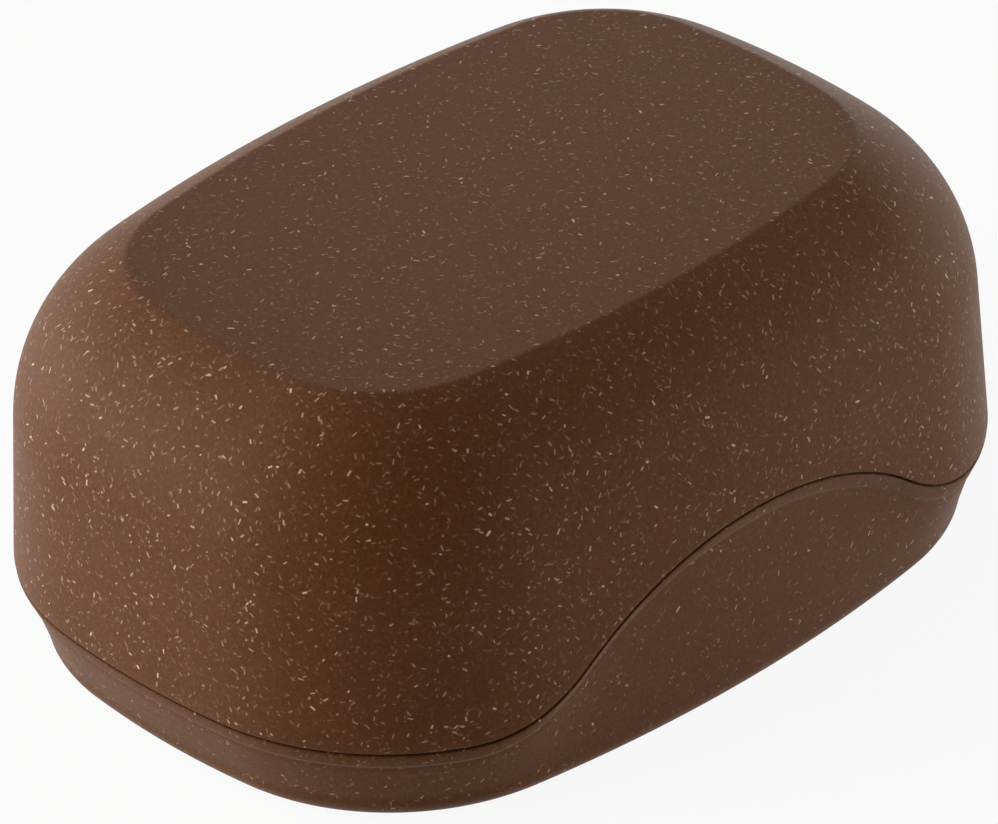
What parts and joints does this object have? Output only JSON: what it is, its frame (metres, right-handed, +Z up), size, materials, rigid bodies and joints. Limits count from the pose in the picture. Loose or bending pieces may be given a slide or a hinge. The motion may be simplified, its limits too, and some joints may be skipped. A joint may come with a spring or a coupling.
{
  "type": "soap dish with lid",
  "caption": "Travel soap box: rounded oblong base and deep dome-shouldered lid that meet along a wavy parting line, with a slotted drain insert inside.",
  "frame": {"origin": "centre of the flat underside that the box stands on", "axes": "+X along the length of the box, +Y across it, +Z up towards the lid"},
  "size_m": [0.105, 0.0764, 0.0453],
  "materials": {
    "base_composite": "satin, filled with fine wood fibre",
    "lid_composite": "satin, filled with fine wood fibre",
    "insert_composite": "satin, filled with fine wood fibre"
  },
  "bodies": {
    "base": {"base": "base_composite"},
    "drain_insert": {"drain_insert": "insert_composite"},
    "lid": {"lid": "lid_composite"}
  },
  "joints": [
    {"name": "lid_lift", "type": "slide", "parent": "base", "child": "lid", "axis": [0, 0, 1], "range_m": [0, 0.06]},
    {"name": "insert_lift", "type": "slide", "parent": "base", "child": "drain_insert", "axis": [0, 0, 1], "range_m": [0, 0.022]}
  ]
}
